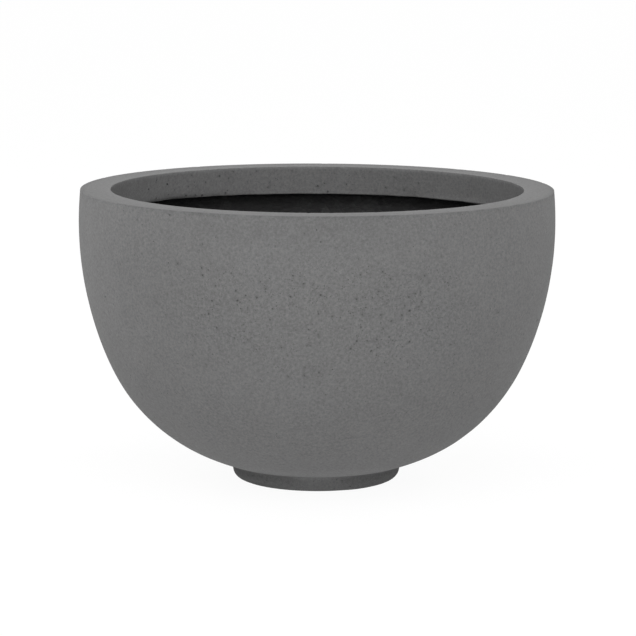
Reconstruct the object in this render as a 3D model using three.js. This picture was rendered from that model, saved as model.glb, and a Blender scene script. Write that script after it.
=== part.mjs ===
// Concrete bowl planter on a low foot.
//
// A hand-laid fibre-cement shell with a flat rim and a turned-in lip, a black glass-fibre
// liner bonded inside it, a separately moulded foot ring bonded under it, and a rubber
// bung in the drain hole. Millimetres, +Z up. The origin is on the floor, at the centre
// of the foot's underside. Every piece is turned about the Z axis.

import * as THREE from 'three';

// ---------------------------------------------------------------- driving dimensions

// Wall, outside face: tangent arcs, from the rim down to the foot.
const RIM_Z = 370;            // height of the flat rim
const MAX_R = 300;            // widest radius of the bowl
const MAX_R_Z = 328;          // height at which the bowl is widest
const ARC_TOP_R = 280;        // arc radius above the widest point, closing in to the rim
const ARC_SIDE_R = 436;       // arc radius of the upper wall
const ARC_SIDE_SWEEP = 24.2;  // degrees
const ARC_HAUNCH_R = 228;     // arc radius where the wall turns under
const ARC_HAUNCH_SWEEP = 41.4;
const ARC_BELLY_R = 298;      // arc radius of the underside
const BASE_FLAT_Z = 14;       // the underside is trued flat here, around the drain hole

// Shell, rim and lip
const SHELL_T = 8;            // thickness of the fibre-cement face shell
const RIM_T = 8;              // thickness of the rim
const RIM_EDGE_R = 1.2;       // rounding of the rim's outer and inner edges
const MOUTH_R = 260;          // radius of the rim's inner edge
const LIP_DEPTH = 37.5;       // how far the lip hangs below the rim's top
const LIP_DRAFT = 4;          // the lip's face leans outwards by this much on its way down
const LIP_T = 8.4;            // thickness of the lip
const LIP_EDGE_R = 1.6;       // rounding of the lip's two lower edges
const INNER_FILLET_R = 5;     // fillets in the hollow under the rim

// Liner
const LINER_T = 3;            // glass-fibre laminate with its black sealing coat
const LINER_TOP_Z = 350;      // it stops short of the hollow under the rim

// Foot
const FOOT_R = 106;           // outer radius of the foot
const FOOT_EDGE_R = 14.4;     // rounding of the foot's lower outer edge
const FOOT_IN_R = 70;         // radius of the hollow inside the foot
const FOOT_IN_EDGE_R = 2;     // rounding of its lower inner edge
const GROOVE_IN_R = 84;       // bonding groove in the foot's top face
const GROOVE_OUT_R = 100;
const BOND_T = 2;             // thickness of the mortar bed in that groove

// Drain hole and its bung
const DRAIN_R = 13;           // radius of the drain hole
const PLUG_STEM_TOP_R = 12.6; // the bung's stem tapers towards its lower end
const PLUG_STEM_END_R = 11.4;
const PLUG_BELOW = 5;         // how far the stem shows below the underside
const PLUG_FLANGE_R = 20;
const PLUG_FLANGE_T = 4;
const PLUG_NECK_R = 4;        // grip on top of the flange
const PLUG_KNOB_R = 7;
const PLUG_KNOB_H = 13;

const GAP = 0.3;              // clearance between faces that touch
const SEGMENTS = 60;          // round the axis, the same on every nested piece
const INNER_COARSE = 0.67;    // the hidden faces between shell and liner take fewer steps
const PLUG_SEGMENTS = 30;

// ---------------------------------------------------------------- profile tools

const rad = (d) => d * Math.PI / 180;
const P = (r, z) => new THREE.Vector2(r, z);

// Points on an arc with centre (cx, cz), from angle a0 to a1 in degrees, 0 = outwards, 90 = up.
function arc(cx, cz, radius, a0, a1, steps) {
  const points = [];
  for (let i = 0; i <= steps; i++) {
    const a = rad(a0 + (a1 - a0) * i / steps);
    points.push(P(cx + radius * Math.cos(a), cz + radius * Math.sin(a)));
  }
  return points;
}

// Centres of the wall's arcs. Each arc is tangent to the next.
const topC = P(MAX_R - ARC_TOP_R, MAX_R_Z);
const sideC = P(MAX_R - ARC_SIDE_R, MAX_R_Z);
const a1 = -ARC_SIDE_SWEEP;
const a2 = a1 - ARC_HAUNCH_SWEEP;
const along = (c, radius, a) => P(c.x + radius * Math.cos(rad(a)), c.y + radius * Math.sin(rad(a)));
const sideEnd = along(sideC, ARC_SIDE_R, a1);
const haunchC = along(sideEnd, -ARC_HAUNCH_R, a1);
const haunchEnd = along(haunchC, ARC_HAUNCH_R, a2);
const bellyC = along(haunchEnd, -ARC_BELLY_R, a2);

// The wall's face at a depth inside the outer face, from the trued flat at flatZ up to topZ.
function wallFace(depth, flatZ, topZ, coarse = 1) {
  const rb = ARC_BELLY_R - depth;
  const aFlat = -Math.asin((bellyC.y - flatZ) / rb) * 180 / Math.PI;
  const rt = ARC_TOP_R - depth;
  const aTop = Math.asin((topZ - topC.y) / rt) * 180 / Math.PI;
  return [
    ...arc(bellyC.x, bellyC.y, rb, aFlat, a2, Math.round(3 * coarse)),
    ...arc(haunchC.x, haunchC.y, ARC_HAUNCH_R - depth, a2, a1, Math.round(6 * coarse)).slice(1),
    ...arc(sideC.x, sideC.y, ARC_SIDE_R - depth, a1, 0, Math.round(4 * coarse)).slice(1),
    ...arc(topC.x, topC.y, rt, 0, aTop, 2).slice(1),
  ];
}

// Height of the bowl's underside at a radius within the foot, at a depth below the face.
function undersideZ(r, below = 0) {
  const radius = ARC_BELLY_R + below;
  const z = bellyC.y - Math.sqrt(radius * radius - (r - bellyC.x) ** 2);
  return Math.max(z, BASE_FLAT_Z - below);
}

// A closed profile (r, z) turned about the Z axis, with its faces pointing outwards.
function turned(profile, segments) {
  let area = 0;
  for (let i = 0; i < profile.length; i++) {
    const a = profile[i], b = profile[(i + 1) % profile.length];
    area += a.x * b.y - b.x * a.y;
  }
  const loop = area > 0 ? profile.slice() : profile.slice().reverse();
  if (loop[0].x > 0 || loop[loop.length - 1].x > 0) loop.push(loop[0].clone());
  const geometry = new THREE.LatheGeometry(loop, segments);
  geometry.rotateX(Math.PI / 2);
  return geometry;
}

function piece(name, geometry, color, roughness) {
  const mesh = new THREE.Mesh(geometry, new THREE.MeshStandardMaterial({ color, roughness, metalness: 0 }));
  mesh.name = name;
  return mesh;
}

// ---------------------------------------------------------------- bowl shell

// Wall, rim and lip are one moulding.
function shellProfile() {
  const outer = wallFace(0, BASE_FLAT_Z, RIM_Z - RIM_EDGE_R);
  const edgeR = outer[outer.length - 1].x - RIM_EDGE_R;
  const outerEdge = arc(edgeR, RIM_Z - RIM_EDGE_R, RIM_EDGE_R, 30, 90, 2);
  const innerEdge = arc(MOUTH_R + RIM_EDGE_R, RIM_Z - RIM_EDGE_R, RIM_EDGE_R, 90, 180, 3);
  const lipFaceR = MOUTH_R + LIP_DRAFT;
  const lipBackR = lipFaceR + LIP_T;
  const lipZ = RIM_Z - LIP_DEPTH + LIP_EDGE_R;
  const lipEnd = [
    ...arc(lipFaceR + LIP_EDGE_R, lipZ, LIP_EDGE_R, 180, 270, 2),
    ...arc(lipBackR - LIP_EDGE_R, lipZ, LIP_EDGE_R, 270, 360, 2),
  ];
  const underZ = RIM_Z - RIM_T;
  const inner = wallFace(SHELL_T, BASE_FLAT_Z + SHELL_T, underZ - INNER_FILLET_R, INNER_COARSE).reverse();
  const wallR = inner[0].x;
  return [
    P(DRAIN_R, BASE_FLAT_Z),
    ...outer,
    ...outerEdge,
    ...innerEdge,
    ...lipEnd,
    ...arc(lipBackR + INNER_FILLET_R, underZ - INNER_FILLET_R, INNER_FILLET_R, 180, 90, 2),
    ...arc(wallR - INNER_FILLET_R, underZ - INNER_FILLET_R, INNER_FILLET_R, 90, 45, 1),
    ...inner,
    P(DRAIN_R, BASE_FLAT_Z + SHELL_T),
  ];
}

// ---------------------------------------------------------------- inner liner

function linerProfile() {
  const back = SHELL_T + GAP;
  const outer = wallFace(back, BASE_FLAT_Z + back, LINER_TOP_Z, INNER_COARSE);
  const inner = wallFace(back + LINER_T, BASE_FLAT_Z + back + LINER_T, LINER_TOP_Z, INNER_COARSE).reverse();
  return [
    P(DRAIN_R, BASE_FLAT_Z + back),
    ...outer,
    ...inner,
    P(DRAIN_R, BASE_FLAT_Z + back + LINER_T),
  ];
}

// ---------------------------------------------------------------- foot ring and its bond

function bellyLine(r0, r1, below, steps) {
  const points = [];
  for (let i = 0; i <= steps; i++) {
    const r = r0 + (r1 - r0) * i / steps;
    points.push(P(r, undersideZ(r, below)));
  }
  return points;
}

const flatEndR = bellyC.x + Math.sqrt((ARC_BELLY_R + GAP) ** 2 - (bellyC.y - (BASE_FLAT_Z - GAP)) ** 2);
const grooveDeep = GAP + BOND_T + GAP;

function footProfile() {
  return [
    P(FOOT_IN_R, FOOT_IN_EDGE_R),
    P(FOOT_IN_R, BASE_FLAT_Z - GAP),
    P(flatEndR, BASE_FLAT_Z - GAP),
    P(GROOVE_IN_R, undersideZ(GROOVE_IN_R, GAP)),
    ...bellyLine(GROOVE_IN_R, GROOVE_OUT_R, grooveDeep, 2),
    ...bellyLine(GROOVE_OUT_R, FOOT_R, GAP, 1),
    ...arc(FOOT_R - FOOT_EDGE_R, FOOT_EDGE_R, FOOT_EDGE_R, 0, -90, 6),
    ...arc(FOOT_IN_R + FOOT_IN_EDGE_R, FOOT_IN_EDGE_R, FOOT_IN_EDGE_R, -90, -135, 1),
  ];
}

function bondProfile() {
  return [
    ...bellyLine(GROOVE_IN_R + GAP, GROOVE_OUT_R - GAP, GAP, 2),
    ...bellyLine(GROOVE_IN_R + GAP, GROOVE_OUT_R - GAP, GAP + BOND_T, 2).reverse(),
  ];
}

// ---------------------------------------------------------------- drain plug

function plugProfile() {
  const seatZ = BASE_FLAT_Z + SHELL_T + GAP + LINER_T + GAP;
  const endZ = BASE_FLAT_Z - PLUG_BELOW;
  const topZ = seatZ + PLUG_FLANGE_T;
  return [
    P(0, endZ),
    P(PLUG_STEM_END_R - 1.5, endZ),
    P(PLUG_STEM_END_R, endZ + 1.5),
    P(PLUG_STEM_TOP_R, seatZ),
    P(PLUG_FLANGE_R, seatZ),
    P(PLUG_FLANGE_R, topZ - 1.5),
    P(PLUG_FLANGE_R - 1.5, topZ),
    P(PLUG_NECK_R, topZ + 1),
    P(PLUG_NECK_R, topZ + PLUG_KNOB_H - 6),
    P(PLUG_KNOB_R, topZ + PLUG_KNOB_H - 4),
    P(PLUG_KNOB_R, topZ + PLUG_KNOB_H - 1.5),
    P(PLUG_KNOB_R - 1.5, topZ + PLUG_KNOB_H),
    P(0, topZ + PLUG_KNOB_H),
  ];
}

// ---------------------------------------------------------------- assembly

const planter = new THREE.Group();
planter.add(
  piece('bowl_shell', turned(shellProfile(), SEGMENTS), '#717171', 0.85),
  piece('inner_liner', turned(linerProfile(), SEGMENTS), '#161616', 0.6),
  piece('foot_ring', turned(footProfile(), SEGMENTS), '#585858', 0.88),
  piece('foot_bond', turned(bondProfile(), SEGMENTS), '#8b8a86', 0.95),
);

const plug = new THREE.Group();
plug.add(piece('drain_plug', turned(plugProfile(), PLUG_SEGMENTS), '#1c1c1c', 0.55));
planter.add(plug);

export default planter;
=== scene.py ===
"""Concrete bowl planter: the looks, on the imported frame. Metres, +Z up, the photograph looks along +Y."""

import math
import random

import bpy
import numpy as np
from mathutils import Matrix, Vector, noise


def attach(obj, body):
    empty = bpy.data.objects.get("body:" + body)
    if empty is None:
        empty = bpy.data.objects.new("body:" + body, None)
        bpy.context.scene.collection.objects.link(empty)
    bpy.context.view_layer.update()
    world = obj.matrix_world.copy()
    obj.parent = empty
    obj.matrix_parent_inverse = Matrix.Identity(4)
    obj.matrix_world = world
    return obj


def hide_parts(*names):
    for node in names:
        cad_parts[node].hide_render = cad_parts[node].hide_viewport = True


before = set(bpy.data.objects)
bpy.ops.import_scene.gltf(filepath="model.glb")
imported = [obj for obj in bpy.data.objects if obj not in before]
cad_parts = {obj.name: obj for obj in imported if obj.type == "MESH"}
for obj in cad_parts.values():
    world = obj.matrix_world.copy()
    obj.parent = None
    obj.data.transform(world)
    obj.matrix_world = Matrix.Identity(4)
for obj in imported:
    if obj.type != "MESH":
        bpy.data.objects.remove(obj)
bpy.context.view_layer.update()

MM = 0.001

# ---------------------------------------------------------------- camera, light, floor

scene = bpy.context.scene
scene.view_settings.view_transform = "Standard"
scene.view_settings.look = "None"
scene.view_settings.exposure = 0.0
scene.view_settings.gamma = 1.0

camera_data = bpy.data.cameras.new("photo_camera")
camera_data.sensor_fit = "HORIZONTAL"
camera_data.sensor_width = 36.0
camera_data.lens = 194.15
camera_data.clip_start = 0.05
camera_data.clip_end = 200.0
camera = bpy.data.objects.new("photo_camera", camera_data)
scene.collection.objects.link(camera)
camera.matrix_world = (
    Matrix.Translation(Vector((0.00157, -4.29656, 0.8545)))
    @ Matrix.Rotation(math.radians(90.0 - 8.5999), 4, "X")
    @ Matrix.Rotation(math.radians(0.2196), 4, "Z")
)
scene.camera = camera

# ---------------------------------------------------------------- node helpers


class Nodes:
    """Short ways to write a material's nodes."""

    def __init__(self, name, world=False):
        self.material = (bpy.data.worlds if world else bpy.data.materials).new(name)
        self.material.use_nodes = True
        self.tree = self.material.node_tree
        self.tree.nodes.clear()
        self.output = self.tree.nodes.new("ShaderNodeOutputWorld" if world else "ShaderNodeOutputMaterial")
        self.coords = self.tree.nodes.new("ShaderNodeTexCoord").outputs["Generated" if world else "Object"]

    def put(self, socket, value):
        if isinstance(value, bpy.types.NodeSocket):
            self.tree.links.new(value, socket)
        else:
            socket.default_value = value

    def math(self, operation, a, b=0.0, c=None, clamp=False):
        node = self.tree.nodes.new("ShaderNodeMath")
        node.operation = operation
        node.use_clamp = clamp
        self.put(node.inputs[0], a)
        self.put(node.inputs[1], b)
        if c is not None:
            self.put(node.inputs[2], c)
        return node.outputs[0]

    def noise(self, scale, detail=2.0, roughness=0.5, distortion=0.0, vector=None, seed=0.0):
        node = self.tree.nodes.new("ShaderNodeTexNoise")
        node.noise_dimensions = "4D"
        self.put(node.inputs["Vector"], vector or self.coords)
        node.inputs["W"].default_value = seed
        node.inputs["Scale"].default_value = scale
        node.inputs["Detail"].default_value = detail
        node.inputs["Roughness"].default_value = roughness
        node.inputs["Distortion"].default_value = distortion
        return node

    def cells(self, scale, feature="F1", randomness=1.0, vector=None):
        node = self.tree.nodes.new("ShaderNodeTexVoronoi")
        node.feature = feature
        self.put(node.inputs["Vector"], vector or self.coords)
        node.inputs["Scale"].default_value = scale
        node.inputs["Randomness"].default_value = randomness
        return node

    def ramp(self, value, low, high, out_low=0.0, out_high=1.0, smooth=True):
        node = self.tree.nodes.new("ShaderNodeMapRange")
        node.interpolation_type = "SMOOTHSTEP" if smooth else "LINEAR"
        self.put(node.inputs["Value"], value)
        self.put(node.inputs["From Min"], low)
        self.put(node.inputs["From Max"], high)
        self.put(node.inputs["To Min"], out_low)
        self.put(node.inputs["To Max"], out_high)
        return node.outputs["Result"]

    def attribute(self, name):
        node = self.tree.nodes.new("ShaderNodeAttribute")
        node.attribute_name = name
        return node.outputs["Fac"]

    def split(self, vector):
        node = self.tree.nodes.new("ShaderNodeSeparateXYZ")
        self.put(node.inputs[0], vector)
        return node.outputs

    def scaled(self, vector, x, y, z):
        node = self.tree.nodes.new("ShaderNodeMapping")
        self.put(node.inputs["Vector"], vector)
        node.inputs["Scale"].default_value = (x, y, z)
        return node.outputs["Vector"]

    def grey(self, value, dark, light):
        """A colour between two, by value from 0 to 1."""
        node = self.tree.nodes.new("ShaderNodeMix")
        node.data_type = "RGBA"
        node.clamp_factor = True
        self.put(node.inputs["Factor"], value)
        node.inputs[6].default_value = (*dark, 1.0)
        node.inputs[7].default_value = (*light, 1.0)
        return node.outputs[2]

    def tinted(self, colour, value):
        """The colour times a number."""
        node = self.tree.nodes.new("ShaderNodeVectorMath")
        node.operation = "SCALE"
        self.put(node.inputs[0], colour)
        self.put(node.inputs["Scale"], value)
        return node.outputs[0]

    def bump(self, height, distance, strength=1.0, normal=None):
        node = self.tree.nodes.new("ShaderNodeBump")
        node.inputs["Strength"].default_value = strength
        node.inputs["Distance"].default_value = distance
        self.put(node.inputs["Height"], height)
        if normal is not None:
            self.put(node.inputs["Normal"], normal)
        return node.outputs["Normal"]

    def finish(self, colour, roughness, normal=None, specular=0.5, **sockets):
        shader = self.tree.nodes.new("ShaderNodeBsdfPrincipled")
        self.put(shader.inputs["Base Color"], colour)
        self.put(shader.inputs["Roughness"], roughness)
        shader.inputs["Specular IOR Level"].default_value = specular
        if normal is not None:
            self.put(shader.inputs["Normal"], normal)
        for key, value in sockets.items():
            shader.inputs[key.replace("_", " ")].default_value = value
        self.tree.links.new(shader.outputs[0], self.output.inputs["Surface"])
        return self.material


def concrete(name, albedo, pore_gain=1.0):
    """Matt fibre cement: cloudy tone, fine sandy grain, small pinholes, paler rubbed edges. Painted on top: painted
    shadow inside the pinholes and pits, a painted shadow along the rim's outer edge, and broad painted light and shadow
    mixed with tone patches.
    """
    n = Nodes(name)
    cloud = n.noise(9.0, 3.0, 0.5, 0.3, seed=1.3).outputs[0]
    patch = n.noise(42.0, 3.0, 0.55, seed=4.1).outputs[0]
    sand = n.noise(300.0, 2.0, 0.6, seed=7.7).outputs[0]
    dust = n.noise(760.0, 1.0, 0.5, seed=2.9).outputs[0]
    pores = n.attribute("pores")
    pit_shade = n.attribute("pit_shade")
    wear_and_edge_shade = n.attribute("wear_and_edge_shade")
    painted_light_and_tone = n.attribute("painted_light_and_tone")

    def holes(scale, share, low, high, seed):
        """Round pinholes: a share of the cells holds one, more where the pores attribute is high."""
        shifted = n.scaled(n.coords, 1.0, 1.0, 1.0)
        shifted.node.inputs["Location"].default_value = (seed, seed * 1.7, seed * 0.6)
        cell = n.cells(scale, vector=shifted)
        pick = n.split(cell.outputs["Color"])
        there = n.math("LESS_THAN", pick[0], n.math("MULTIPLY", pores, share * pore_gain))
        size = n.ramp(pick[1], 0.0, 1.0, low * scale, high * scale, smooth=False)
        near = n.math("SUBTRACT", 1.0, n.math("DIVIDE", cell.outputs["Distance"], size), clamp=True)
        return n.math("MULTIPLY", near, there)

    small = holes(210.0, 0.26, 0.0006, 0.0012, 0.31)
    tiny = holes(420.0, 0.38, 0.0004, 0.0008, 0.87)
    hole = n.math("MAXIMUM", small, tiny)
    # Painted shade inside the pinholes.
    hole_shade = n.ramp(hole, 0.0, 0.45)

    tone = n.math("MULTIPLY_ADD", n.math("SUBTRACT", cloud, 0.5), 0.10, 1.0)
    blotch = n.math("MULTIPLY_ADD", n.math("MINIMUM", pores, 1.0), -0.16, 0.25)
    tone = n.math("MULTIPLY_ADD", n.math("SUBTRACT", patch, 0.5), blotch, tone)
    speck = n.math("MULTIPLY_ADD", n.math("SUBTRACT", sand, 0.5), 0.80, n.math("MULTIPLY", n.math("SUBTRACT", dust, 0.5), 0.48))
    speck = n.math("MULTIPLY", speck, n.math("MULTIPLY_ADD", pores, 0.22, 0.97))
    tone = n.math("ADD", tone, speck)
    # Paler rubbed edges, and painted shade darkening the rim's outer edge and the wall just under it.
    tone = n.math("MULTIPLY_ADD", wear_and_edge_shade, 0.07, tone)
    # Broad painted light and shade on the wall and foot, mixed with tone patches.
    tone = n.math("MULTIPLY", tone, n.math("ADD", painted_light_and_tone, 1.0))
    tone = n.math("MULTIPLY", tone, n.math("MULTIPLY_ADD", hole_shade, -0.52, 1.0))
    # Painted shade inside the pits cut in the mesh.
    tone = n.math("MULTIPLY", tone, n.math("MULTIPLY_ADD", pit_shade, -0.36, 1.0))
    hue = n.grey(n.noise(16.0, 2.0, 0.5, seed=9.4).outputs[0],
                 (albedo * 0.995, albedo, albedo * 1.006), (albedo * 1.006, albedo, albedo * 0.993))
    colour = n.tinted(hue, tone)

    height = n.math("MULTIPLY_ADD", sand, 0.5, n.math("MULTIPLY", dust, 0.35))
    height = n.math("MULTIPLY_ADD", n.ramp(hole, 0.0, 0.8), -2.2, height)
    normal = n.bump(height, 0.00022, 0.8)
    rough = n.ramp(patch, 0.3, 0.7, 0.84, 0.94, smooth=False)
    return n.finish(colour, rough, normal, specular=0.35)


def lining():
    """Black sealing coat brushed over glass-fibre mat: satin, smoky brush swirls, strands that show through."""
    n = Nodes("black_lining_coat")
    warp = n.noise(7.0, 3.0, 0.55, 1.6, seed=3.2)
    smoke = n.noise(13.0, 5.0, 0.6, 2.4, seed=5.5).outputs[0]
    stretched = n.scaled(n.coords, 1.0, 1.0, 3.0)
    brush = n.noise(60.0, 4.0, 0.6, 1.2, vector=stretched, seed=6.1).outputs[0]
    strand = n.cells(95.0, feature="DISTANCE_TO_EDGE", vector=n.scaled(n.coords, 1.0, 1.0, 1.6))
    mat = n.ramp(strand.outputs["Distance"], 0.0, 0.10)
    grain = n.noise(500.0, 2.0, 0.6, seed=1.9).outputs[0]
    wisp = n.noise(26.0, 5.0, 0.68, 1.7, seed=12.7).outputs[0]
    veil = n.math("MULTIPLY", n.ramp(smoke, 0.45, 0.72), n.ramp(warp.outputs[0], 0.35, 0.65))
    tone = n.math("MULTIPLY_ADD", veil, 0.8, 0.58)
    tone = n.math("MULTIPLY_ADD", n.ramp(wisp, 0.47, 0.72), 0.95, tone)
    tone = n.math("MULTIPLY_ADD", n.math("SUBTRACT", brush, 0.5), 1.3, tone)
    tone = n.math("MULTIPLY_ADD", n.math("SUBTRACT", grain, 0.5), 0.25, tone)
    tone = n.math("MULTIPLY", tone, n.math("MULTIPLY_ADD", mat, 0.10, 0.92))
    colour = n.tinted(n.grey(smoke, (0.029, 0.029, 0.030), (0.034, 0.034, 0.034)), tone)
    height = n.math("MULTIPLY_ADD", brush, 0.8, n.math("MULTIPLY", mat, 0.5))
    height = n.math("MULTIPLY_ADD", grain, 0.12, height)
    normal = n.bump(height, 0.0007, 0.8)
    rough = n.math("MULTIPLY_ADD", brush, 0.22, 0.42)
    return n.finish(colour, rough, normal, specular=0.4)


def mortar():
    """Light-grey mortar bed, sandy and ragged."""
    n = Nodes("mortar_bed")
    sand = n.noise(420.0, 3.0, 0.6, seed=3.8).outputs[0]
    lump = n.noise(120.0, 3.0, 0.6, seed=8.8).outputs[0]
    grit = n.cells(520.0)
    tone = n.math("MULTIPLY_ADD", n.math("SUBTRACT", sand, 0.5), 0.5, 1.0)
    tone = n.math("MULTIPLY_ADD", n.math("SUBTRACT", lump, 0.5), 0.3, tone)
    colour = n.tinted(n.grey(lump, (0.25, 0.245, 0.235), (0.29, 0.285, 0.272)), tone)
    height = n.math("ADD", n.math("MULTIPLY", grit.outputs["Distance"], 0.6), lump)
    return n.finish(colour, n.ramp(sand, 0.3, 0.7, 0.88, 0.97, smooth=False), n.bump(height, 0.0005), specular=0.3)


def rubber():
    """Black moulded rubber with a fine eroded skin and a little dust."""
    n = Nodes("moulded_rubber")
    skin = n.noise(1400.0, 2.0, 0.6, seed=2.2).outputs[0]
    dust = n.noise(130.0, 4.0, 0.6, seed=6.6).outputs[0]
    tone = n.math("MULTIPLY_ADD", n.ramp(dust, 0.45, 0.75), 0.9, 0.8)
    tone = n.math("MULTIPLY_ADD", n.math("SUBTRACT", skin, 0.5), 0.3, tone)
    colour = n.tinted(n.grey(dust, (0.012, 0.012, 0.012), (0.017, 0.0168, 0.0162)), tone)
    rough = n.ramp(dust, 0.35, 0.7, 0.46, 0.66, smooth=False)
    return n.finish(colour, rough, n.bump(skin, 0.0001, 0.6), specular=0.5)


def studio_world():
    """Soft light from all round, strongest from in front, where the photograph was taken from. What shows behind the object is plain white."""
    n = Nodes("studio", world=True)
    x, y, z = n.split(n.coords)
    level = n.math("MAXIMUM", n.math("SQRT", n.math("ADD", n.math("MULTIPLY", x, x), n.math("MULTIPLY", y, y))), 1e-4)
    cx, cy = n.math("DIVIDE", x, level), n.math("DIVIDE", y, level)
    high = n.ramp(z, 0.30, 0.60)
    total = None
    for axis, sign, low_light, high_light in ((cy, -1.0, 1.20, 3.32), (cy, 1.0, 0.60, 0.60), (cx, -1.0, 0.25, 0.04), (cx, 1.0, 0.25, 0.04)):
        lobe = n.math("POWER", n.math("MAXIMUM", n.math("MULTIPLY", axis, sign), 0.0), 2.0)
        light = n.math("MULTIPLY", lobe, n.math("MULTIPLY_ADD", high, high_light - low_light, low_light))
        total = light if total is None else n.math("ADD", total, light)
    soft = n.tree.nodes.new("ShaderNodeBackground")
    n.put(soft.inputs["Strength"], total)
    white = n.tree.nodes.new("ShaderNodeBackground")
    white.inputs["Color"].default_value = (1.0, 1.0, 1.0, 1.0)
    soft.inputs["Color"].default_value = (1.0, 1.0, 1.0, 1.0)
    mix = n.tree.nodes.new("ShaderNodeMixShader")
    n.put(mix.inputs[0], n.tree.nodes.new("ShaderNodeLightPath").outputs["Is Camera Ray"])
    n.put(mix.inputs[1], soft.outputs[0])
    n.put(mix.inputs[2], white.outputs[0])
    n.put(n.output.inputs["Surface"], mix.outputs[0])
    return n.material


def softbox(name, azimuth, elevation, size, share):
    """A square area light round the object, at azimuth from the front towards +X. share is what it adds on a surface that faces it, beside 1 from a white surrounding."""
    distance = 3.2
    a, e = math.radians(azimuth), math.radians(elevation)
    aim = Vector((0.0, 0.0, 0.25))
    away = Vector((math.cos(e) * math.sin(a), -math.cos(e) * math.cos(a), math.sin(e)))
    data = bpy.data.lights.new(name, "AREA")
    data.shape = "SQUARE"
    data.size = size
    data.energy = share * math.pi ** 2 * distance ** 2
    obj = bpy.data.objects.new(name, data)
    scene.collection.objects.link(obj)
    obj.location = aim + away * distance
    obj.rotation_euler = away.to_track_quat("Z", "Y").to_euler()
    obj.visible_camera = False
    return obj


scene.world = studio_world()
softbox("softbox_left_high", -115.0, 35.0, 1.6, 0.35)
softbox("softbox_right_high", 115.0, 35.0, 1.6, 0.35)
softbox("softbox_left_front", -60.0, 40.0, 1.6, 0.10)

CONCRETE = concrete("fibre_cement", 0.150)
# The foot's fibre cement is a darker copy of the bowl's: painted shade for the shadow under the bowl.
SHADED_FOOT_CONCRETE = concrete("fibre_cement_foot_shaded", 0.096, pore_gain=0.6)
LINING = lining()
MORTAR = mortar()
RUBBER = rubber()


# ---------------------------------------------------------------- turned pieces


def arc(cx, cz, radius, start, end, step):
    """Points on an arc in the (r, z) plane, angles in degrees from +r."""
    count = max(1, math.ceil(radius * abs(math.radians(end - start)) / step))
    angles = [math.radians(start + (end - start) * k / count) for k in range(count + 1)]
    return [(cx + radius * math.cos(a), cz + radius * math.sin(a)) for a in angles]


def line(a, b, step):
    count = max(1, math.ceil(math.dist(a, b) / step))
    return [(a[0] + (b[0] - a[0]) * k / count, a[1] + (b[1] - a[1]) * k / count) for k in range(count + 1)]


def join(*runs):
    points = []
    for run in runs:
        for p in run:
            if not points or math.dist(p, points[-1]) > 1e-4:
                points.append(p)
    return points


def grid_cells(u0, v0, u1, v1, columns, rows, gap=0.006):
    """Rectangles of a columns x rows grid over a part of the UV square, a gap apart."""
    cells = []
    for b in range(rows):
        for a in range(columns):
            cells.append((
                u0 + (u1 - u0) * a / columns + gap / 2, v0 + (v1 - v0) * b / rows + gap / 2,
                u0 + (u1 - u0) * (a + 1) / columns - gap / 2, v0 + (v1 - v0) * (b + 1) / rows - gap / 2,
            ))
    return cells


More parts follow.
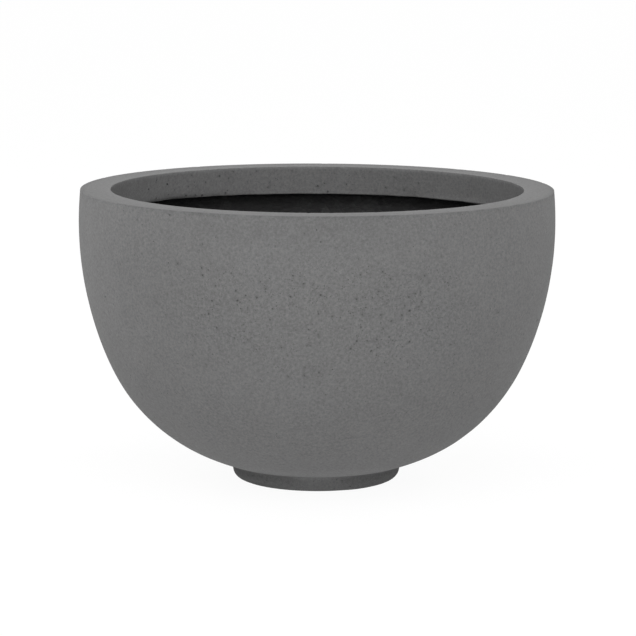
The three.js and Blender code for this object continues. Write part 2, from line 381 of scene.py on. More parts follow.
def turned(name, sections, columns, shape, material, pits=(), masks=None):
    """A closed body turned about Z. sections is a list of (label, [(r, z), ...], UV cells); each starts where the last
    one ends, and the last ends at the first's start.
    pits is a list of (label, angle, rows from the section's start, radius, depth, seed).
    shape(label, angle, travel, r, z) gives how far a point stands off the surface, in mm, and masks(label, angle,
    travel, r, z) the pores, the rubbed edges with a painted shadow along the rim, and the painted light and tone
    values. Angle 0 faces -Y and grows towards +X."""
    rows, labels = [], []
    for label, points, _ in sections:
        for p in points if not rows else points[1:]:
            rows.append(p)
            labels.append(label)
    assert math.dist(rows[0], rows[-1]) < 1e-6, name
    rows, labels = rows[:-1], labels[:-1]
    count = len(rows)
    travel, start_of = [0.0], {}
    for k in range(1, count + 1):
        travel.append(travel[-1] + math.dist(rows[k - 1], rows[k % count]))
    span, k = [], 0
    for label, points, cells in sections:
        span.append((label, k, k + len(points) - 1, cells))
        start_of[label] = (k, k + len(points) - 1)
        k += len(points) - 1

    base = np.array(rows)
    ahead, behind = np.roll(base, -1, axis=0), np.roll(base, 1, axis=0)
    d1 = (ahead - base) / np.maximum(np.linalg.norm(ahead - base, axis=1, keepdims=True), 1e-9)
    d0 = (base - behind) / np.maximum(np.linalg.norm(base - behind, axis=1, keepdims=True), 1e-9)
    tangent = d0 + d1
    tangent /= np.maximum(np.linalg.norm(tangent, axis=1, keepdims=True), 1e-9)
    normal = np.stack([tangent[:, 1], -tangent[:, 0]], axis=1)

    angles = np.array([-180.0 + 360.0 * i / columns for i in range(columns)])
    sin, cos = np.sin(np.radians(angles)), -np.cos(np.radians(angles))
    place = np.zeros((count, columns, 3))
    pores = np.zeros((count, columns))
    wear_and_edge_shade = np.zeros((count, columns))
    painted_light_and_tone = np.zeros((count, columns))
    for j in range(count):
        r, z = rows[j]
        off = np.array([shape(labels[j], a, travel[j], r, z) for a in angles])
        rr, zz = r + normal[j, 0] * off, z + normal[j, 1] * off
        place[j, :, 0], place[j, :, 1], place[j, :, 2] = rr * sin, rr * cos, zz
        if masks:
            for i, a in enumerate(angles):
                pores[j, i], wear_and_edge_shade[j, i], painted_light_and_tone[j, i] = masks(labels[j], a, travel[j], r, z)

    vertices = [tuple(p) for p in (place * MM).reshape(-1, 3)]
    where = [(j, i) for j in range(count) for i in range(columns)]
    pore_values = list(pores.reshape(-1))
    wear_and_edge_shade_values = list(wear_and_edge_shade.reshape(-1))
    painted_light_and_tone_values = list(painted_light_and_tone.reshape(-1))
    pit_shade_values = [0.0] * len(vertices)
    at = lambda j, i: (j % count) * columns + i % columns

    taken, patches = set(), []
    for label, angle, down, radius, depth, seed in pits:
        first, last = start_of[label]
        across_at, along_at = (angle + 180.0) / 360.0 * columns, first + down
        column = round(across_at)
        row = min(max(round(along_at), first + 1), last - 1)
        block = {(row + a, (column + b) % columns) for a in (-1, 0) for b in (-1, 0)}
        if block & taken:
            continue
        taken |= block
        patches.append((row, column, across_at - column, along_at - row, radius, depth, seed))

    faces, sharp = [], set()
    for j in range(count):
        for i in range(columns):
            if (j, i) not in taken:
                faces.append((at(j, i), at(j, i + 1), at(j + 1, i + 1), at(j + 1, i)))

    ring_of = ((-1, -1), (-1, 0), (-1, 1), (0, 1), (1, 1), (1, 0), (1, -1), (0, -1))
    for row, column, aside, along_by, radius, depth, seed in patches:
        rng = random.Random(seed)
        centre = place[row, column % columns]
        across = place[row, (column + 1) % columns] - place[row, (column - 1) % columns]
        along = place[(row + 1) % count, column % columns] - place[(row - 1) % count, column % columns]
        w, h = np.linalg.norm(across) / 2, np.linalg.norm(along) / 2
        inward = -np.cross(across, along)
        inward /= np.linalg.norm(inward)
        limit = 0.86 * min(w, h)
        radius = min(radius, limit)
        room = limit - radius
        shift = (min(max(aside * w, -room), room), min(max(along_by * h, -room), room))
        outer = [at(row + a, column + b) for a, b in ring_of]

        def surface(u, v):
            """The skin at u across and v along, in mm from the middle of the patch."""
            a, b = u / w, v / h
            i0, j0 = (0, 0) if a >= 0 else (-1, 0), 0
            ia, ja = (column if a >= 0 else column - 1), (row if b >= 0 else row - 1)
            fa, fb = (a if a >= 0 else a + 1), (b if b >= 0 else b + 1)
            p00, p10 = place[ja % count, ia % columns], place[ja % count, (ia + 1) % columns]
            p01, p11 = place[(ja + 1) % count, ia % columns], place[(ja + 1) % count, (ia + 1) % columns]
            return (p00 * (1 - fa) + p10 * fa) * (1 - fb) + (p01 * (1 - fa) + p11 * fa) * fb

        stretch = rng.uniform(0.8, 1.25)
        turn = rng.uniform(0, math.pi)
        wobble = [rng.uniform(0.85, 1.12) for _ in range(8)]
        rings = []
        # Painted shade inside each pit: light at its edge, full further in.
        for share, sink, dark in ((1.0, 0.0, 0.35), (0.86, 0.55, 1.0), (0.5, 0.95, 1.0)):
            ring = []
            for k, (a, b) in enumerate(ring_of):
                bearing = math.atan2(a * h, b * w)
                reach = radius * share * wobble[k]
                reach *= math.sqrt((stretch * math.cos(bearing - turn)) ** 2 + (math.sin(bearing - turn) / stretch) ** 2)
                reach = min(reach, 0.93 * min(w, h))
                u, v = shift[0] + reach * math.cos(bearing), shift[1] + reach * math.sin(bearing)
                u, v = max(-0.95 * w, min(0.95 * w, u)), max(-0.95 * h, min(0.95 * h, v))
                point = surface(u, v) + inward * depth * sink
                ring.append(len(vertices))
                vertices.append(tuple(point * MM))
                where.append((row + v / h, column + u / w))
                pore_values.append(0.0)
                wear_and_edge_shade_values.append(0.0)
                painted_light_and_tone_values.append(painted_light_and_tone[row, column % columns])
                pit_shade_values.append(dark)
            rings.append(ring)
        middle = len(vertices)
        vertices.append(tuple((surface(*shift) + inward * depth) * MM))
        where.append((row + shift[1] / h, column + shift[0] / w))
        pore_values.append(0.0)
        wear_and_edge_shade_values.append(0.0)
        painted_light_and_tone_values.append(painted_light_and_tone[row, column % columns])
        pit_shade_values.append(1.0)
        for a, b in ((outer, rings[0]), (rings[0], rings[1]), (rings[1], rings[2])):
            for k in range(8):
                faces.append((a[k], a[(k + 1) % 8], b[(k + 1) % 8], b[k]))
        for k in range(8):
            faces.append((rings[2][k], rings[2][(k + 1) % 8], middle))
            sharp.add(frozenset((rings[0][k], rings[0][(k + 1) % 8])))

    if patches:
        used = sorted({v for f in faces for v in f})
        renumber = {v: k for k, v in enumerate(used)}
        faces = [tuple(renumber[v] for v in f) for f in faces]
        sharp = {frozenset(renumber[v] for v in e) for e in sharp}
        vertices = [vertices[v] for v in used]
        where = [where[v] for v in used]
        pore_values = [pore_values[v] for v in used]
        wear_and_edge_shade_values = [wear_and_edge_shade_values[v] for v in used]
        painted_light_and_tone_values = [painted_light_and_tone_values[v] for v in used]
        pit_shade_values = [pit_shade_values[v] for v in used]

    mesh = bpy.data.meshes.new(name)
    mesh.from_pydata(vertices, [], faces)
    mesh.polygons.foreach_set("use_smooth", [True] * len(mesh.polygons))
    for key, values in (("pores", pore_values), ("wear_and_edge_shade", wear_and_edge_shade_values), ("painted_light_and_tone", painted_light_and_tone_values), ("pit_shade", pit_shade_values)):
        mesh.attributes.new(key, "FLOAT", "POINT").data.foreach_set("value", values)
    if sharp:
        edge = mesh.attributes.new("sharp_edge", "BOOLEAN", "EDGE")
        edge.data.foreach_set("value", [frozenset(e.vertices) in sharp for e in mesh.edges])

    uv = mesh.uv_layers.new(name="OFBake")
    flat = np.zeros(len(mesh.loops) * 2)
    for polygon in mesh.polygons:
        marks = [where[v] for v in polygon.vertices]
        js, iis = [m[0] for m in marks], [m[1] for m in marks]
        if max(js) - min(js) > count / 2:
            js = [j + count if j < count / 2 else j for j in js]
        if max(iis) - min(iis) > columns / 2:
            iis = [i + columns if i < columns / 2 else i for i in iis]
        jm, im = sum(js) / len(js), (sum(iis) / len(iis))
        if im >= columns:
            iis, im = [i - columns for i in iis], im - columns
        if im < 0:
            iis, im = [i + columns for i in iis], im + columns
        for _, first, last, cells in span:
            if first <= jm <= last:
                break
        part = min(int(im / columns * len(cells)), len(cells) - 1)
        u0, v0, u1, v1 = cells[part]
        wide, low = columns / len(cells), travel[first]
        reach = travel[last] - low
        for loop, j, i in zip(polygon.loop_indices, js, iis):
            whole = min(int(j), count - 1)
            t = travel[whole] + (travel[whole + 1] - travel[whole]) * (j - whole)
            a, b = (i - part * wide) / wide, (t - low) / reach
            flat[loop * 2], flat[loop * 2 + 1] = u0 + (u1 - u0) * a, v0 + (v1 - v0) * b
    uv.data.foreach_set("uv", flat)
    mesh.materials.append(material)
    mesh.update()
    mesh.validate()
    obj = bpy.data.objects.new(name, mesh)
    scene.collection.objects.link(obj)
    return obj


def ripple(seed, waves):
    """A smooth sum of waves round the axis and along the profile: waves is a list of (times round, mm along, mm high)."""
    rng = random.Random(seed)
    terms = [(k, 2 * math.pi / length, high, rng.uniform(0, 2 * math.pi), rng.uniform(0, 2 * math.pi))
             for k, length, high in waves]

    def value(angle, travel):
        a = math.radians(angle)
        return sum(high * math.sin(k * a + p) * math.sin(f * travel + q) for k, f, high, p, q in terms)

    return value


# The bowl's profile: arcs that run on from each other, round the widest point at r 300, z 328.
TOP = (-136.0, 328.0, 436.0)
SIDE = (-136.0, 328.0, 436.0)
SIDE_END = -24.2
HAUNCH_END = -65.6


def swing(centre, angle, radius_next):
    """The centre of the next arc, which leaves this one at that angle."""
    a = math.radians(angle)
    return (centre[0] + (centre[2] - radius_next) * math.cos(a), centre[1] + (centre[2] - radius_next) * math.sin(a), radius_next)


HAUNCH = swing(SIDE, SIDE_END, 228.0)
BELLY = swing(HAUNCH, HAUNCH_END, 298.0)


def bowl_curve(inset, z_top, z_flat, step):
    """The profile this far inside the outer face, from the flat bottom up to z_top."""
    bottom = -math.degrees(math.asin((BELLY[1] - z_flat) / (BELLY[2] - inset)))
    top = math.degrees(math.asin((z_top - TOP[1]) / (TOP[2] - inset)))
    return join(
        arc(BELLY[0], BELLY[1], BELLY[2] - inset, bottom, HAUNCH_END, step),
        arc(HAUNCH[0], HAUNCH[1], HAUNCH[2] - inset, HAUNCH_END, SIDE_END, step),
        arc(SIDE[0], SIDE[1], SIDE[2] - inset, SIDE_END, 0.0, step),
        arc(TOP[0], TOP[1], TOP[2] - inset, 0.0, top, step),
    )


WALL = bowl_curve(0.0, 369.5, 14.0, 4.0)
BEHIND = bowl_curve(8.0, 357.0, 22.0, 16.0)
HOLE_R = 13.0
edge = WALL[-1]
inner_top = BEHIND[-1]

wall_travel = [0.0]
for a, b in zip(WALL, WALL[1:]):
    wall_travel.append(wall_travel[-1] + math.dist(a, b))


def wall_fraction(z):
    """How far along the wall's rows a height lies, from 0 at the bottom to 1 under the rim."""
    for k in range(1, len(WALL)):
        if WALL[k][1] >= z:
            share = (z - WALL[k - 1][1]) / (WALL[k][1] - WALL[k - 1][1])
            return (k - 1 + share) / (len(WALL) - 1)
    return 1.0


shell_sections = [
    ("bottom", line((HOLE_R, 14.0), WALL[0], 17.0), grid_cells(0.955, 0.0, 1.0, 0.30, 1, 1)),
    ("wall", WALL, grid_cells(0.0, 0.0, 0.955, 0.83, 2, 2)),
    ("rim", join(
        arc(edge[0] - 0.5, 369.5, 0.5, 5.4, 90.0, 0.27),
        line((edge[0] - 0.5, 370.0), (260.5, 370.0), 4.0),
        arc(260.5, 369.5, 0.5, 90.0, 180.0, 0.27),
    ), grid_cells(0.0, 0.83, 0.955, 0.90, 2, 2)),
    ("lip", join(
        line((260.0, 369.5), (264.0, 334.1), 4.0),
        arc(265.6, 334.1, 1.6, 180.0, 270.0, 0.7),
        line((265.6, 332.5), (270.8, 332.5), 2.6),
        arc(270.8, 334.1, 1.6, 270.0, 360.0, 1.3),
        line((272.4, 334.1), (272.4, 357.0), 7.7),
        arc(277.4, 357.0, 5.0, 180.0, 90.0, 2.7),
        line((277.4, 362.0), (inner_top[0] - 5.0, 362.0), 5.0),
        arc(inner_top[0] - 5.0, 357.0, 5.0, 90.0, 0.0, 2.7),
    ), grid_cells(0.0, 0.90, 0.955, 1.0, 2, 2)),
    ("behind", BEHIND[::-1], grid_cells(0.955, 0.30, 1.0, 0.80, 1, 1)),
    ("hole", join(
        line(BEHIND[0], (HOLE_R, 22.0), 24.0),
        line((HOLE_R, 22.0), (HOLE_R, 14.0), 4.0),
    ), grid_cells(0.955, 0.80, 1.0, 1.0, 1, 1)),
]
shell_sections[1] = ("wall", [shell_sections[0][1][-1]] + WALL[1:], shell_sections[1][2])
shell_sections[2][1][0] = WALL[-1]

sway = ripple(11, [(2, 900, 0.08), (3, 700, 0.06), (5, 380, 0.05), (7, 260, 0.04), (9, 210, 0.03)])
palm = ripple(12, [(23, 95, 0.035), (31, 70, 0.03), (41, 61, 0.025), (17, 130, 0.04)])
ragged = ripple(13, [(29, 220, 0.10), (43, 200, 0.09), (61, 180, 0.07)])
# How far the lip's lower edge hangs below its true height, in mm, by angle.
HEM = [(-180, 0.15), (-166, 0.0), (-151, -0.6), (-134, -1.4), (-110, 0.0), (-70, -0.3), (-30, 0.3), (10, 0.4), (55, -0.2), (95, 0.3), (122, 0.5), (141, 0.8), (152, 0.0), (166, 0.2), (180, 0.15)]


def hem(angle):
    for (a0, h0), (a1, h1) in zip(HEM, HEM[1:]):
        if a0 <= angle <= a1:
            t = (angle - a0) / (a1 - a0)
            return h0 + (h1 - h0) * t * t * (3.0 - 2.0 * t) + 2.0 * ragged(angle, 50.0)
    return 0.0



def shell_shape(label, angle, travel, r, z):
    if label in ("hole", "bottom", "behind"):
        return 0.0
    a = math.radians(angle)
    point = Vector((r * math.sin(a), -r * math.cos(a), z))
    fine = 0.08 * noise.noise(point / 26.0) + 0.03 * noise.noise(point / 11.0)
    if label == "wall":
        flat_side = 0.8 * math.exp(-(turn_gap(angle, 92.0) / 42.0) ** 2 - ((z - 108.0) / 52.0) ** 2)
        return (sway(angle, travel) + palm(angle, travel) + fine - flat_side) * min(1.0, max(0.0, (r - 110.0) / 60.0))
    if label == "rim":
        corner = max(0.0, 1.0 - math.dist((r, z), (edge[0] - 0.4, 369.6)) / 1.4) + max(0.0, 1.0 - math.dist((r, z), (260.4, 369.6)) / 1.4)
        return 0.5 * fine - min(1.0, corner) * max(0.0, noise.noise(point / 6.5) - 0.28) * 1.1
    if label == "lip":
        low = max(0.0, min(1.0, (336.5 - z) / 3.0)) if r < 272.0 else 0.0
        return fine + low * hem(angle)
    return 0.0


# Where pinholes gather on the wall: (angle, height, spread round in mm, spread up in mm, weight).
FRONT_CLOUDS = [
    (-25.5, 262.0, 34, 30, 0.75), (-14.0, 270.0, 30, 22, 0.60), (-3.0, 281.0, 46, 24, 0.95), (9.0, 246.0, 40, 30, 0.85),
    (19.0, 250.0, 44, 30, 1.15), (14.0, 214.0, 36, 22, 0.75), (24.0, 283.0, 36, 24, 0.75), (-7.0, 212.0, 34, 22, 0.38),
    (31.0, 228.0, 30, 30, 0.40), (1.0, 178.0, 40, 22, 0.28), (-23.0, 224.0, 30, 20, 0.50), (-62.0, 252.0, 30, 30, 0.25),
]
rng = random.Random(4242)
BACK_CLOUDS = []
for _ in range(17):
    BACK_CLOUDS.append((rng.uniform(60.0, 300.0), rng.uniform(175.0, 310.0), rng.uniform(26, 52), rng.uniform(18, 34), rng.uniform(0.35, 0.95)))
CLOUDS = FRONT_CLOUDS + BACK_CLOUDS


def turn_gap(a, b):
    return (a - b + 180.0) % 360.0 - 180.0


# Broad tone changes painted on the wall, partly painted light and shade: the upper left lighter, a painted shadow under
# the rim at the front, and a lighter band just above the foot; the rest are tone patches. (angle, height, spread round
# in mm, spread up in mm, share of the tone).
LIGHT_AND_TONE_PATCHES = [
    (-74.0, 288.0, 75, 90, 0.115), (-50.0, 190.0, 60, 50, 0.035), (-2.0, 356.0, 100, 15, -0.085), (4.0, 250.0, 70, 60, -0.020),
    (13.0, 130.0, 60, 34, -0.035), (44.0, 345.0, 60, 20, -0.025), (-20.0, 335.0, 40, 24, 0.015), (60.0, 200.0, 40, 50, 0.030),
    (-8.0, 22.0, 90, 9, 0.240), (24.0, 22.0, 50, 9, 0.120),
]
for _ in range(14):
    LIGHT_AND_TONE_PATCHES.append((rng.uniform(85.0, 275.0), rng.uniform(60.0, 350.0), rng.uniform(50, 110), rng.uniform(25, 80), rng.uniform(-0.045, 0.05)))


def shell_masks(label, angle, travel, r, z):
    a = math.radians(angle)
    point = Vector((r * math.sin(a), -r * math.cos(a), z))
    stray = 0.10 + 0.10 * noise.noise(point / 60.0)
    if label == "wall":
        cloud = 0.0
        for where, height, wide, tall, weight in CLOUDS:
            du = math.radians(turn_gap(angle, where)) * r / wide
            dv = (z - height) / tall
            if abs(du) < 3.0 and abs(dv) < 3.0:
                cloud += weight * math.exp(-0.5 * (du * du + dv * dv))
        pores = stray + min(cloud, 1.2) * (0.75 + 0.5 * noise.noise(point / 18.0))
    elif label in ("lip", "rim"):
        pores = stray * (1.6 if label == "lip" else 0.7)
    else:
        pores = 0.0
    rub_and_edge_shade = 0.0
    # Paler rubbed rim edges; below, painted shade along the rim's outer edge.
    if label == "rim" or (label == "wall" and z > 364.0) or (label == "lip" and z > 364.0):
        near = min(math.dist((r, z), (edge[0] - 0.4, 369.6)), math.dist((r, z), (260.4, 369.6)))
        rub_and_edge_shade = max(0.0, 1.0 - near / 4.5) * (0.65 + 0.6 * noise.noise(point / 9.0))
        # Painted shade: a dark line on the wall just under the rim's edge.
        if label == "wall":
            rub_and_edge_shade = -1.9 * math.exp(-((z - 368.9) / 2.2) ** 2) * (0.9 + 0.4 * noise.noise(point / 15.0))
        # Painted shade: the rim's outer band darker, darkest at the front.
        elif label == "rim" and r > 290.0:
            edge_shade = 1.4 + 2.2 * math.exp(-((turn_gap(angle, 4.0) / 62.0) ** 4))
            rub_and_edge_shade = -edge_shade * min(1.0, max(0.0, (r - 291.0) / 4.5)) * (0.9 + 0.4 * noise.noise(point / 15.0))
    if label == "lip" and z < 340.0 and r < 270.0:
        rub_and_edge_shade = max(rub_and_edge_shade, 0.9 * max(0.0, 1.0 - (z - 332.5) / 7.0))
    tone = 0.0
    # Painted light and shade of the wall from the table above, with tone patches.
    if label == "wall":
        for where, height, wide, tall, share in LIGHT_AND_TONE_PATCHES:
            du = math.radians(turn_gap(angle, where)) * r / wide
            dv = (z - height) / tall
            if abs(du) < 3.0 and abs(dv) < 3.0:
                tone += share * math.exp(-0.5 * (du * du + dv * dv))
    elif label == "lip":
        tone = 0.06 * math.exp(-((turn_gap(angle, -145.0) / 28.0) ** 2)) - 0.08 * math.exp(-((turn_gap(angle, 140.0) / 28.0) ** 2))
    elif label == "rim":
        tone = 0.03 * (1.0 - (r - 261.0) / 18.0)
    return max(0.0, pores), rub_and_edge_shade, tone


# The larger pinholes of the front and of the lip opposite, as (angle, height, radius), then seeded ones all round.
FRONT_PITS = [
    (-24.3, 232.5, 1.6), (22.0, 255.0, 1.6), (-18.5, 267.5, 1.6), (22.8, 216.5, 1.6), (-24.9, 265.5, 1.5), (17.7, 243.5, 1.4),
    (14.4, 221.0, 1.5), (13.3, 207.0, 1.6), (9.6, 220.0, 1.6), (-6.0, 274.5, 1.5), (-26.0, 249.0, 1.5), (8.2, 210.5, 1.4),
    (0.9, 277.0, 1.5), (-13.8, 272.0, 1.3), (-18.8, 279.5, 1.5), (15.0, 251.5, 1.3), (0.6, 180.5, 1.3), (25.3, 296.5, 1.3),
    (-3.0, 290.5, 1.2), (-27.0, 296.0, 1.4), (-62.0, 251.0, 1.5), (21.6, 272.0, 1.3), (-8.4, 211.5, 1.1), (-27.2, 304.5, 1.3),
    (12.1, 220.0, 1.2), (31.5, 286.0, 1.1), (-3.0, 176.5, 1.1), (24.3, 259.0, 1.2), (20.1, 250.5, 1.1), (16.9, 295.0, 1.1),
    (-33.6, 307.0, 1.2), (20.7, 261.5, 1.1), (0.4, 254.0, 1.1), (24.4, 277.5, 1.2), (-5.4, 300.0, 1.2), (-23.7, 284.0, 1.1),
    (15.0, 304.0, 1.1), (14.2, 280.0, 1.2), (9.9, 301.0, 1.0), (-11.7, 283.5, 1.1), (-36.0, 364.4, 1.5), (24.0, 282.5, 1.0),
]
LIP_PITS = [
    (-139.0, 336.3, 1.7), (-145.0, 336.0, 1.6), (-152.5, 336.4, 1.5), (177.0, 335.6, 1.4), (-142.4, 336.5, 1.3), (179.9, 343.0, 1.5),
    (-131.3, 355.0, 1.4), (-150.2, 359.8, 1.3), (-127.1, 338.0, 1.0), (-140.5, 363.8, 1.0), (171.5, 346.2, 1.1), (-123.1, 351.5, 1.2),
    (178.0, 347.2, 0.9), (-154.6, 365.0, 1.0), (159.8, 343.8, 1.2), (-126.4, 362.0, 0.9), (-145.6, 353.0, 1.0), (149.2, 351.8, 1.0),
    (-165.4, 342.2, 0.9), (-153.2, 356.5, 0.9), (-139.6, 349.2, 0.9), (154.0, 341.0, 1.2), (-161.8, 364.5, 1.0),
]


def wall_rows(z):
    return wall_fraction(z) * (len(WALL) - 1)


def lip_rows(z):
    """Rows below the rim on the lip's front face, which has nine of them."""
    return (369.5 - z) / 35.4 * 9


pits = []
for k, (angle, height, radius) in enumerate(FRONT_PITS):
    pits.append(("wall", angle, wall_rows(height), radius * 0.83, radius * 0.72, 100 + k))
for k, (angle, height, radius) in enumerate(LIP_PITS):
    pits.append(("lip", angle, lip_rows(height), radius, radius * 0.9, 200 + k))
for k, (where, height, wide, tall, weight) in enumerate(CLOUDS):
    amount = round(weight * (3 if k < len(FRONT_CLOUDS) else 11))
    for _ in range(amount):
        angle = where + math.degrees(rng.gauss(0, 0.8) * wide / 280.0)
        z = height + rng.gauss(0, 0.8) * tall
        radius = min(1.7, 0.75 + rng.expovariate(3.2))
        if k < len(FRONT_CLOUDS):
            radius = min(radius, 0.90)
        pits.append(("wall", angle, wall_rows(z), radius, radius * rng.uniform(0.7, 1.0), rng.randrange(1 << 30)))
for _ in range(44):
    radius = min(1.5, 0.6 + rng.expovariate(4.0))
    angle = rng.uniform(-180, 180)
    if abs(angle) < 80.0:
        radius = min(radius, 0.75)
    pits.append(("wall", angle, wall_rows(rng.uniform(90.0, 355.0)), radius, radius * 0.8, rng.randrange(1 << 30)))
for _ in range(46):
    radius = min(1.4, 0.6 + rng.expovariate(4.0))
    angle = rng.uniform(-180, 180)
    if abs(angle) > 110.0:
        radius = min(radius, 0.8)
    pits.append(("lip", angle, rng.uniform(1.0, 8.2), radius, radius * 0.8, rng.randrange(1 << 30)))
for _ in range(14):
    radius = min(1.1, 0.5 + rng.expovariate(5.0))
    pits.append(("rim", rng.uniform(-180, 180), rng.uniform(5.0, 10.0), radius, radius * 0.8, rng.randrange(1 << 30)))

bowl = turned("bowl_shell_finish", shell_sections, 480, shell_shape, CONCRETE, pits, shell_masks)

# ---------------------------------------------------------------- lining

LINER_OUT = bowl_curve(8.3, 350.0, 22.3, 14.0)
LINER_IN = bowl_curve(11.3, 350.0, 25.3, 6.0)
liner_sections = [
    ("under", line((HOLE_R, 22.3), LINER_OUT[0], 34.0), grid_cells(0.96, 0.0, 1.0, 0.2, 1, 1)),
    ("back", LINER_OUT, grid_cells(0.96, 0.2, 1.0, 0.9, 1, 1)),
    ("edge", [LINER_OUT[-1], ((LINER_OUT[-1][0] + LINER_IN[-1][0]) / 2, 350.0), LINER_IN[-1]], grid_cells(0.96, 0.9, 1.0, 1.0, 1, 1)),
    ("face", LINER_IN[::-1], grid_cells(0.0, 0.16, 0.96, 1.0, 2, 2)),
    ("floor", line(LINER_IN[0], (HOLE_R, 25.3), 6.0), grid_cells(0.0, 0.02, 0.96, 0.16, 2, 1)),
    ("hole", [(HOLE_R, 25.3), (HOLE_R, 22.3)], grid_cells(0.0, 0.0, 0.96, 0.02, 1, 1, 0.004)),
]


def liner_shape(label, angle, travel, r, z):
    if label not in ("face", "floor"):
        return 0.0
    a = math.radians(angle)
    point = Vector((r * math.sin(a), -r * math.cos(a), z))
    ease = min(1.0, max(0.0, (r - 24.0) / 20.0)) * (1.0 if label == "floor" else min(1.0, (350.0 - z) / 12.0 + 0.1))
    lump = 0.9 * noise.noise(point / 70.0) + 0.55 * noise.noise(point / 31.0) + 0.30 * noise.noise(point / 14.0)
    return -0.9 * ease + ease * lump


liner = turned("inner_liner_finish", liner_sections, 240, liner_shape, LINING)

# ---------------------------------------------------------------- foot

foot_side = join(
    [(91.6, 0.0)],
    arc(91.6, 14.4, 14.4, -90.0, 0.0, 2.3),
    line((106.0, 14.4), (106.0, 16.2), 1.8),
    [(106.15, 17.3), (106.6, 18.4), (107.4, 19.4), (108.6, 20.25), (110.2, 20.95)],
)
foot_sections = [
    ("sole", join(arc(72.0, 2.0, 2.0, 180.0, 270.0, 1.6), line((72.0, 0.0), (91.6, 0.0), 4.9)), grid_cells(0.0, 0.40, 1.0, 0.70, 1, 2)),
    ("side", foot_side, grid_cells(0.0, 0.0, 1.0, 0.40, 1, 2)),
    ("seat", [(110.2, 20.95), (106.0, 19.75), (103.0, 18.80), (100.0, 17.82), (100.0, 15.44), (92.0, 13.49), (84.0, 11.77), (84.0, 14.12), (81.9, 13.7), (70.0, 13.7)],
     grid_cells(0.0, 0.70, 1.0, 0.86, 1, 2)),
    ("inside", line((70.0, 13.7), (70.0, 2.0), 4.0), grid_cells(0.0, 0.86, 1.0, 1.0, 1, 2)),
]
foot_sway = ripple(21, [(2, 300, 0.10), (3, 200, 0.08), (5, 120, 0.07), (9, 90, 0.06), (14, 60, 0.05)])


def foot_shape(label, angle, travel, r, z):
    if label != "side":
        return 0.0
    a = math.radians(angle)
    point = Vector((r * math.sin(a), -r * math.cos(a), z))
    ease = min(1.0, z / 1.5) * min(1.0, max(0.0, (17.5 - z) / 2.5))
    dent = 2.7 * math.exp(-(turn_gap(angle, -45.0) / 19.0) ** 2 - ((z - 4.0) / 4.5) ** 2)
    dent += 1.3 * math.exp(-(turn_gap(angle, 58.0) / 16.0) ** 2 - ((z - 8.0) / 5.0) ** 2)
    dent -= 0.7 * math.exp(-(turn_gap(angle, 30.0) / 12.0) ** 2 - ((z - 3.0) / 3.0) ** 2)
    return ease * (foot_sway(angle, travel) + 0.15 * noise.noise(point / 13.0) - dent)


def foot_masks(label, angle, travel, r, z):
    # Painted light and shade: the foot lighter at the front and at its top there, a little darker all round.
    front = math.exp(-((turn_gap(angle, 0.0) / 38.0) ** 2))
    crown = math.exp(-((turn_gap(angle, 1.0) / 16.0) ** 4))
    return (0.35 if label == "side" else 0.1), 0.0, 0.27 * front + 0.30 * max(0.0, (z - 8.0) / 9.0) * crown - 0.07


foot_pits = []
for _ in range(9):
    radius = rng.uniform(0.7, 1.2)
    foot_pits.append(("side", rng.uniform(-180, 180), rng.uniform(4.0, 11.0), radius, radius, rng.randrange(1 << 30)))
foot = turned("foot_ring_finish", foot_sections, 240, foot_shape, SHADED_FOOT_CONCRETE, foot_pits, foot_masks)

# ---------------------------------------------------------------- drain plug

plug_sections = [
    ("below", join(line((0.02, 9.0), (9.9, 9.0), 3.3), arc(9.9, 10.5, 1.5, -90.0, 0.0, 0.8)), grid_cells(0.0, 0.0, 1.0, 0.2, 1, 1)),
    ("stem", line((11.4, 10.5), (12.6, 25.6), 3.0), grid_cells(0.0, 0.2, 1.0, 0.4, 1, 1)),
    ("flange", join(
        line((12.6, 25.6), (19.5, 25.6), 3.5),
        arc(19.5, 26.1, 0.5, -90.0, 0.0, 0.4),
        line((20.0, 26.1), (20.0, 28.1), 1.0),
        arc(18.5, 28.1, 1.5, 0.0, 90.0, 0.6),
        line((18.5, 29.6), (15.2, 29.8), 1.2),
        [(14.7, 29.45), (14.1, 29.4), (13.6, 29.85)],
        line((13.6, 29.85), (5.5, 30.5), 2.1),
    ), grid_cells(0.0, 0.4, 1.0, 0.7, 1, 1)),
    ("knob", join(
        [(5.5, 30.5), (4.5, 31.0), (4.05, 32.0), (4.0, 34.0), (4.1, 35.7), (4.8, 36.7), (5.9, 37.4), (6.8, 38.2)],
        line((7.0, 38.9), (7.0, 41.1), 1.1),
        arc(5.5, 41.1, 1.5, 0.0, 90.0, 0.6),
        line((5.5, 42.6), (0.02, 42.6), 1.8),
    ), grid_cells(0.0, 0.7, 1.0, 0.95, 1, 1)),
    ("core", [(0.02, 42.6), (0.02, 9.0)], grid_cells(0.0, 0.95, 1.0, 1.0, 1, 1)),
]
plug_sections[3] = ("knob", [plug_sections[2][1][-1]] + plug_sections[3][1][1:], plug_sections[3][2])


def plug_shape(label, angle, travel, r, z):
    return 0.0


plug = turned("drain_plug_finish", plug_sections, 96, plug_shape, RUBBER)

# ---------------------------------------------------------------- joining the frame

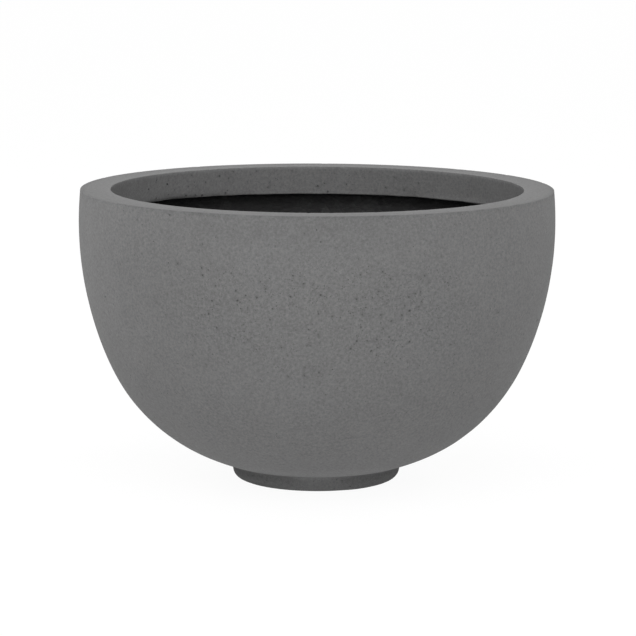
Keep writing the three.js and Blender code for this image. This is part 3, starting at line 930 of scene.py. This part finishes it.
for piece, body, node, slot in (
    (bowl, "planter", "bowl_shell", "concrete"),
    (liner, "planter", "inner_liner", "black_lining"),
    (foot, "planter", "foot_ring", "foot_concrete"),
    (plug, "plug", "drain_plug", "rubber"),
):
    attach(piece, body)
    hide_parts(node)

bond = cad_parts["foot_bond"]
bond.data.materials.clear()
bond.data.materials.append(MORTAR)

# ---------------------------------------------------------------- floor

floor_mesh = bpy.data.meshes.new("floor")
half = 40.0
floor_mesh.from_pydata([(-half, -half, 0), (half, -half, 0), (half, half, 0), (-half, half, 0)], [], [(0, 1, 2, 3)])
floor = bpy.data.objects.new("floor", floor_mesh)
scene.collection.objects.link(floor)
floor_nodes = n = Nodes("studio_floor")
glow = n.tree.nodes.new("ShaderNodeEmission")
far = n.tree.nodes.new("ShaderNodeVectorMath")
far.operation = "LENGTH"
n.put(far.inputs[0], n.coords)
n.put(glow.inputs["Strength"], n.math("ADD", n.ramp(far.outputs["Value"], 0.12, 0.32, 0.29, 0.0), n.ramp(far.outputs["Value"], 0.40, 1.20, 0.19, 0.0)))
paper = n.tree.nodes.new("ShaderNodeBsdfDiffuse")
paper.inputs["Color"].default_value = (0.6, 0.6, 0.6, 1.0)
lit = n.tree.nodes.new("ShaderNodeAddShader")
n.put(lit.inputs[0], glow.outputs[0])
n.put(lit.inputs[1], paper.outputs[0])
white = n.tree.nodes.new("ShaderNodeEmission")
white.inputs["Strength"].default_value = 0.945
faint = n.tree.nodes.new("ShaderNodeBsdfDiffuse")
faint.inputs["Color"].default_value = (0.055, 0.055, 0.055, 1.0)
seen = n.tree.nodes.new("ShaderNodeAddShader")
n.put(seen.inputs[0], white.outputs[0])
n.put(seen.inputs[1], faint.outputs[0])
mix = n.tree.nodes.new("ShaderNodeMixShader")
n.put(mix.inputs[0], n.tree.nodes.new("ShaderNodeLightPath").outputs["Is Camera Ray"])
n.put(mix.inputs[1], lit.outputs[0])
n.put(mix.inputs[2], seen.outputs[0])
n.put(n.output.inputs["Surface"], mix.outputs[0])
floor_nodes.material.cycles.emission_sampling = "NONE"
floor_mesh.materials.append(floor_nodes.material)
